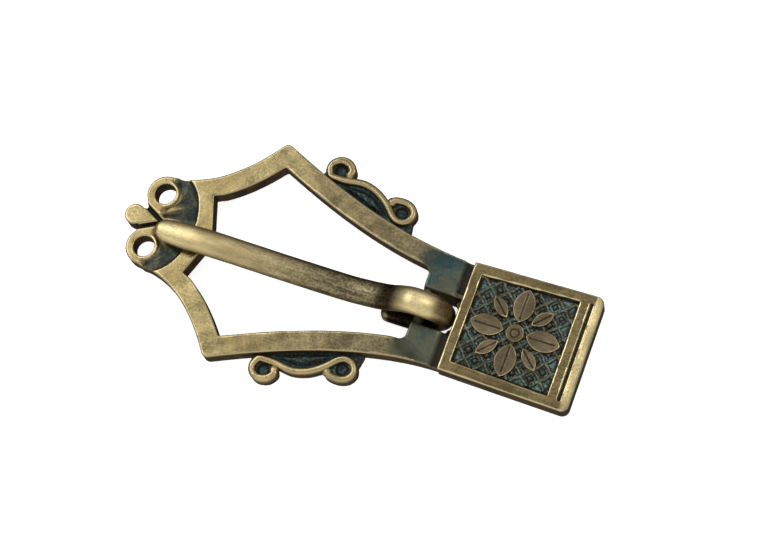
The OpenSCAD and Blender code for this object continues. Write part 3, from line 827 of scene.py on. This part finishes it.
def recess_share(x, y):
    """1 in the dull ground between each hole's lobe and the raised band."""
    y = np.abs(y)
    to_band = 1 - np.hypot((x - LEAF_C) / LEAF_A, y / LEAF_B)
    off_lobe = np.hypot(x - HOLE[0], y - HOLE[1]) - LOBE_R
    return ramp(x, HOLE[0] + 0.2, HOLE[0] + 2.2) * ramp(to_band, -0.01, 0.01) * ramp(off_lobe, -1.1, 1.5)


def mark_surface(piece, fine=0.05, broad=0.25):
    mesh = piece.data
    count = len(mesh.vertices)
    place, normal = np.empty(count * 3, np.float32), np.empty(count * 3, np.float32)
    mesh.vertices.foreach_get("co", place)
    mesh.vertices.foreach_get("normal", normal)
    ends = np.empty(len(mesh.edges) * 2, np.int32)
    mesh.edges.foreach_get("vertices", ends)
    place, normal, ends = place.reshape(-1, 3) / MM, normal.reshape(-1, 3), ends.reshape(-1, 2)
    near = ((place - neighbour_mean(place, ends, 12)) * normal).sum(1)
    wide = ((place - neighbour_mean(place, ends, 90)) * normal).sum(1)
    normal = neighbour_mean(normal, ends, 2)
    # Convexity marks the edges that get rubbed metal and a painted highlight; concavity marks the creases
    # that get painted shade.
    marks = {"wear_and_sheen": np.clip(near / fine, 0, 1), "crease": np.clip(-near / fine, 0, 1),
             "hollow": np.clip(-wide / broad, 0, 1), "wall": ramp(-normal[:, 2], -0.75, -0.25),
             "recess": recess_share(place[:, 0], place[:, 1])}
    for mark, values in marks.items():
        stored = mesh.attributes.new(mark, "FLOAT", "POINT")
        stored.data.foreach_set("value", values.astype(np.float32))
    print(piece.name, {mark: float(values.mean().round(3)) for mark, values in marks.items()})


for piece in (frame_piece, plaque_piece, ornament_piece, ground_piece, tongue_piece,
              *scroll_plates.values(), *ribbon_pieces.values()):
    mark_surface(piece, fine=0.1 if piece is tongue_piece else 0.05)

# %% [markdown]
# ## Old brass
# The metal is cast yellow brass, dulled by handling: olive-gold faces, brown side walls that are
# partly patina and partly painted shade, teal patina in the hollows, painted shade in the creases,
# and bright edges that are partly rubbed and partly a painted highlight. Some parts add more
# painted light and shade: a highlight on the plaque's end and on the tongue, and shade beside the
# plaque, in the tongue's saddle and on its tail. One function builds it, and each part gives its
# own colours and amounts. Colours are written as they look on a screen and turned to light.


# %% The metal
def screen(r, g, b):
    return tuple(((c / 255) / 12.92 if c <= 10 else ((c / 255 + 0.055) / 1.055) ** 2.4) for c in (r, g, b))


# A pale colour for rubbed edges together with their painted highlight, and a near-black that paints the shade
# in creases.
RUBBED_AND_HIGHLIGHT, CREASE_SHADE = screen(246, 228, 172), screen(12, 11, 9)
# Dark browns for steep walls and undersides: partly dark patina, partly painted shade.
WALL_BROWN, WALL_DARK = screen(98, 72, 44), screen(58, 42, 28)
PATINA_DEEP, PATINA_PALE = screen(24, 44, 46), screen(92, 122, 120)


def old_brass(name, light, mid, brown, patina=0.5, overlays=(), shine=0.3, edge=0.8, sinks=True, last=(),
              streaks=0.5, pale=None, side=0.9):
    """Worn brass with painted edge highlights and painted shade in creases and on walls. An overlay is a
    function for its share and two colours; last goes over the patina.
    """
    material = bpy.data.materials.new(name)
    material.use_nodes = True
    material.node_tree.nodes.clear()
    n = Nodes(material.node_tree)
    spot = n.make("ShaderNodeTexCoord", output="Object")
    blotch = n.make("ShaderNodeTexNoise", None,
                    {"Vector": spot, "Scale": 420.0, "Detail": 4.0, "Roughness": 0.6})
    fleck = n.make("ShaderNodeTexNoise", None, {"Vector": spot, "Scale": 2600.0, "Detail": 3.0})
    drift = n.make("ShaderNodeTexNoise", None, {"Vector": spot, "Scale": 120.0, "Detail": 2.0})
    drawn = n.make("ShaderNodeMapping", None, {"Vector": spot, "Scale": (300.0, 5200.0, 2600.0)})
    scratch = n.make("ShaderNodeTexNoise", None, {"Vector": drawn, "Scale": 1.0, "Detail": 3.0})
    wear_and_sheen, crease = n.attribute("wear_and_sheen"), n.attribute("crease")
    hollow, wall = n.attribute("hollow"), n.attribute("wall")
    height = n.axis(spot, 2)
    sunk = (FACE_Z * MM - height).between(0.00012, 0.0005) if sinks else 0.0

    tone = (blotch - 0.5) * (1.1 - streaks) + (fleck - 0.5) * 1.0 + (scratch - 0.5) * streaks + 0.5
    speckle = tone.between(0.34, 0.68)

    def overlaid(colour, layers, spread):
        for share, dull, bright in layers:
            colour = n.mix(share(n, spot, blotch), colour, n.mix(spread, dull, bright))
        return colour

    colour = n.mix(speckle, mid, light)
    brown_share = (drift + fleck * 0.3).between(0.55, 0.85) * 0.6
    colour = overlaid(n.mix(brown_share, colour, brown), overlays, speckle)
    green = n.mix(tone.between(0.35, 0.85), PATINA_DEEP, pale or PATINA_PALE)
    stain = (hollow * 0.7 + sunk * patina + (blotch - 0.5) * 0.7).between(0.15, 0.7)
    stain = stain.maths("MINIMUM", stain, sunk + hollow) if sinks else stain * 0.6 * hollow
    cloud = (blotch - 0.5) * 1.3 + (drift - 0.5) * 1.4 + (fleck - 0.5) * 0.6 + 0.5
    colour = overlaid(n.mix(stain * 0.92, colour, green), last, cloud.between(0.25, 0.75))
    # Steep side walls and undersides turn dark brown: partly dark patina, partly painted shade.
    wall_patina_and_shade = n.mix(blotch.between(0.4, 0.65), WALL_BROWN, WALL_DARK)
    colour = n.mix(wall * side, colour, wall_patina_and_shade)
    # Painted shade: creases, and a little of the hollows, darken to near-black.
    colour = n.mix((crease * 1.1 + hollow * 0.3).between(0.15, 0.95) * 0.9, colour, CREASE_SHADE)
    # Convex edges turn pale: partly rubbed metal, partly a painted highlight.
    rub_and_highlight = (wear_and_sheen * 1.2 - 0.25 + (blotch - 0.5) * 0.9).between(0.1, 0.9) * (1 - wall * 0.4)
    colour = n.mix(rub_and_highlight * edge * (1 - sunk * 0.75), colour, RUBBED_AND_HIGHLIGHT)

    rough = shine + stain * 0.2 + wall * 0.2 - rub_and_highlight * 0.06 + (scratch - 0.5) * 0.18 + (blotch - 0.5) * 0.12
    metal = 1 - (stain * 0.5 + crease * 0.4).between(0.0, 1.2) * 0.9
    bumps = blotch * 0.8 + fleck * 0.4 + scratch * 0.3
    bump = n.make("ShaderNodeBump", None, {"Strength": 0.6, "Distance": 0.00007, "Height": bumps})
    shader = n.make("ShaderNodeBsdfPrincipled", None, {
        "Base Color": colour, "Roughness": rough, "Metallic": metal, "Normal": bump, "IOR": 1.5})
    output = material.node_tree.nodes.new("ShaderNodeOutputMaterial")
    material.node_tree.links.new(shader.socket, output.inputs["Surface"])
    return material


def along(n, spot, start, end):
    """0 to 1 along the buckle, between two places in millimetres."""
    return n.axis(spot, 0).between(start * MM, end * MM)


# The frame's faces are coloured darker and greyer towards the neck.
def toward_neck(n, spot, blotch):
    return along(n, spot, EDGE_X - 3, HINGE_X - 2) * 0.9


def neck_stain(n, spot, blotch):
    share = along(n, spot, bar_left - 4.5, bar_left + 1.5) * 1.1 + (blotch - 0.5) * 0.7
    return share.between(0.3, 0.8) * 0.95


def recess_stain(n, spot, blotch):
    return (n.attribute("recess") * 1.1 + (blotch - 0.5) * 1.6 - 0.1).between(0.1, 0.7) * 0.85


# Painted shadow: the last stretch of the frame beside the plaque's wall, the ledge behind the hook included,
# is near-black.
def shade_beside_plaque(n, spot, blotch):
    return along(n, spot, PLAQUE_X - 1.5, PLAQUE_X - 0.9) * 0.95


# Painted highlight: the plaque's sloping end band is coloured pale gold.
def plaque_end_highlight(n, spot, blotch):
    return along(n, spot, END_X - 1.5, END_X - 0.6)


# The stem is coloured darker along its middle, between the bright tip and the crown.
def darker_mid_stem(n, spot, blotch):
    return (along(n, spot, EDGE_X - 4, HINGE_X - 12) * (1 - along(n, spot, HINGE_X - 6, HINGE_X - 1))
            + (blotch - 0.5) * 0.15) * 0.95


# Painted shade: a dark band where the stem bends up into the crown.
def saddle_shade(n, spot, blotch):
    near_crown = along(n, spot, HINGE_X - 4.8, HINGE_X - 2.8)
    return along(n, spot, HINGE_X - 8, HINGE_X - 5.6) * (1 - near_crown) * 0.95


# Painted shade: the low parts of the tongue, its tail under the frame most of all, are coloured near-black.
def tail_shade(n, spot, blotch):
    height = n.axis(spot, 2)
    return 1 - height.between(0.0021, 0.0034)


def hook_brown(n, spot, blotch):
    return (along(n, spot, HINGE_X + 1.5, HINGE_X + 3.5) + (blotch - 0.5)).between(0.1, 0.9) * 0.8


GOLD, OLIVE, DIM, UMBER = screen(166, 150, 107), screen(132, 119, 82), screen(96, 90, 71), screen(100, 84, 58)
TEAL_GREY, STONE, PALE_TEAL = screen(56, 82, 84), screen(98, 98, 80), screen(138, 174, 168)
metals = {
    "frame": old_brass("frame_brass_worn", GOLD, OLIVE, screen(126, 104, 64), 0.52,
                       [(toward_neck, DIM, screen(134, 122, 92))], edge=0.45,
                       last=[(neck_stain, TEAL_GREY, STONE),
                             (recess_stain, screen(36, 56, 56), screen(104, 100, 80)),
                             # Near-black painted shadow beside the plaque.
                             (shade_beside_plaque, screen(26, 22, 18), screen(48, 38, 28))]),
    "plaque": old_brass("plaque_brass_worn", screen(156, 140, 100), screen(120, 106, 74), UMBER, 0.95,
                        # Pale gold painted highlight on the plaque's end.
                        [(plaque_end_highlight, screen(236, 216, 160), screen(214, 194, 140))],
                        edge=0.8, pale=PALE_TEAL),
    "leaves": old_brass("ornament_brass_dull", screen(142, 128, 102), screen(114, 102, 80),
                        screen(84, 72, 54), 0.4, shine=0.38, edge=0.8),
    "ground": old_brass("ground_brass_dark", screen(124, 106, 74), screen(84, 70, 48), screen(44, 44, 36),
                        0.9, shine=0.36, edge=0.12, pale=PALE_TEAL),
    "floor": old_brass("scroll_brass_dark", screen(104, 100, 84), screen(76, 76, 66), screen(42, 44, 38),
                       0.6, shine=0.4, edge=0.15),
    "curl": old_brass("curl_brass_brown", screen(176, 154, 112), screen(134, 116, 84), screen(88, 72, 50),
                      0.1, shine=0.34, edge=0.35, sinks=False),
    # The tongue's pale cream colours are partly polish on the worn crown and tip, and partly a painted
    # highlight. Its layers give a darker middle stem, painted shade in the saddle, a brown hook back and
    # painted shade on the low tail.
    "tongue": old_brass("tongue_brass_worn_highlit", screen(250, 232, 176), screen(226, 204, 150),
                        screen(170, 146, 100), 0.0,
                        [(darker_mid_stem, screen(84, 78, 62), screen(150, 138, 106)),
                         (saddle_shade, screen(38, 32, 24), screen(86, 70, 44)),
                         (hook_brown, screen(60, 48, 28), screen(116, 98, 60)),
                         (tail_shade, screen(22, 24, 24), screen(50, 42, 30))],
                        shine=0.38, edge=0.5, sinks=False, streaks=0.8, side=0.6)}

# %% [markdown]
# ## Giving each piece its metal and body
# Each piece gets its metal, is attached to the body it moves with, and hides the CAD nodes it
# stands for. The casting is all one body, and only the tongue moves.


# %% Pieces, bodies and finishes
def hand_over(piece, metal, body, slot, *nodes):
    piece.data.materials.clear()
    piece.data.materials.append(metals[metal])
    if nodes:
        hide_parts(*nodes)
    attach(piece, body)


hand_over(frame_piece, "frame", "frame", "frame_brass", "head_plate", "finial_bead", "upper_head_arm",
          "lower_head_arm", "upper_long_arm", "lower_long_arm", "upper_neck_cheek", "lower_neck_cheek",
          "hinge_bar")
hand_over(plaque_piece, "plaque", "frame", "frame_brass", "plaque")
hand_over(ornament_piece, "leaves", "frame", "frame_brass", "plaque_ornament")
hand_over(ground_piece, "ground", "frame", "dark_brass", "plaque_lattice")
for label in ("upper", "lower"):
    hand_over(scroll_plates[label], "floor", "frame", "dark_brass", label + "_scroll_plate")
    hand_over(ribbon_pieces[label], "curl", "frame", "frame_brass", label + "_scroll_ribbon")
hand_over(tongue_piece, "tongue", "tongue", "tongue_brass", "tongue")

# %% [markdown]
# ## Table, light and camera
# The buckle lies on a white table, as in a catalogue. Brass shows what it reflects, so the
# world is bright overhead and darker low down, which draws the edges. Two small round
# softboxes, one towards the head's end and one towards the plaque's, add a little more light.

# %% The table
bpy.ops.mesh.primitive_plane_add(size=2.0, location=(0, 0, cad_bounds[0][2] - 0.0001))
table = bpy.context.object
table.name = "table_top"
white = bpy.data.materials.new("table_white")
white.use_nodes = True
white.node_tree.nodes["Principled BSDF"].inputs["Base Color"].default_value = (0.92, 0.92, 0.92, 1)
white.node_tree.nodes["Principled BSDF"].inputs["Roughness"].default_value = 0.9
white.node_tree.nodes["Principled BSDF"].inputs["Emission Color"].default_value = (1, 1, 1, 1)
white.node_tree.nodes["Principled BSDF"].inputs["Emission Strength"].default_value = 0.8
table.data.materials.append(white)
table.visible_glossy = False
table.visible_diffuse = False

# %% The sky that the brass reflects
world = bpy.data.worlds.new("soft_studio")
bpy.context.scene.world = world
world.use_nodes = True
world.node_tree.nodes.clear()
w = Nodes(world.node_tree)
toward = w.make("ShaderNodeTexCoord", output="Generated")
side_x = w.axis(toward, 0)
side_y = w.axis(toward, 1)
up = w.axis(toward, 2)
glow = 0.06 + up.between(-0.15, 0.4) * 0.3 + up.between(0.5, 0.98) * 0.16
glow = glow + (side_y * -1).between(0.0, 0.9) * 0.45 + side_x.between(0.0, 0.9) * 0.1
sky = w.make("ShaderNodeBackground", None, {"Color": (1.0, 0.99, 0.97, 1), "Strength": glow})
world.node_tree.links.new(sky.socket, world.node_tree.nodes.new("ShaderNodeOutputWorld").inputs["Surface"])


def softbox(name, place, size, power):
    light = bpy.data.lights.new(name, "AREA")
    light.shape, light.size, light.energy = "DISK", size, power
    lamp = bpy.data.objects.new(name, light)
    lamp.location = place
    lamp.rotation_euler = (-lamp.location).to_track_quat("-Z", "Y").to_euler()
    bpy.context.scene.collection.objects.link(lamp)


softbox("head_softbox", (-0.3, 0.15, 0.5), 0.3, 0.55)
softbox("plaque_softbox", (0.2, 0.2, 0.55), 0.2, 0.32)

# %% The camera
TILT, HEADING, ROLL = math.radians(-20.155), math.radians(22.104), math.radians(-19.114)
AIM = np.array([5.5, 0.0, 5.0])
around = Matrix.Rotation(HEADING, 3, "Z")
turn = around @ Matrix.Rotation(TILT, 3, "X") @ around.transposed() @ Matrix.Rotation(ROLL, 3, "Z")
away = np.array([0.0, -2.818, -294.12])
camera_data = bpy.data.cameras.new("catalogue_camera")
camera_data.lens, camera_data.sensor_width = 93.75, 36.0
camera = bpy.data.objects.new("catalogue_camera", camera_data)
seat = AIM - np.array(turn.transposed()) @ away
camera.matrix_world = Matrix.Translation(seat * MM) @ turn.transposed().to_4x4()
bpy.context.scene.collection.objects.link(camera)
bpy.context.scene.camera = camera
bpy.context.scene.view_settings.view_transform = "Standard"
print("camera at", (seat * MM).round(4))
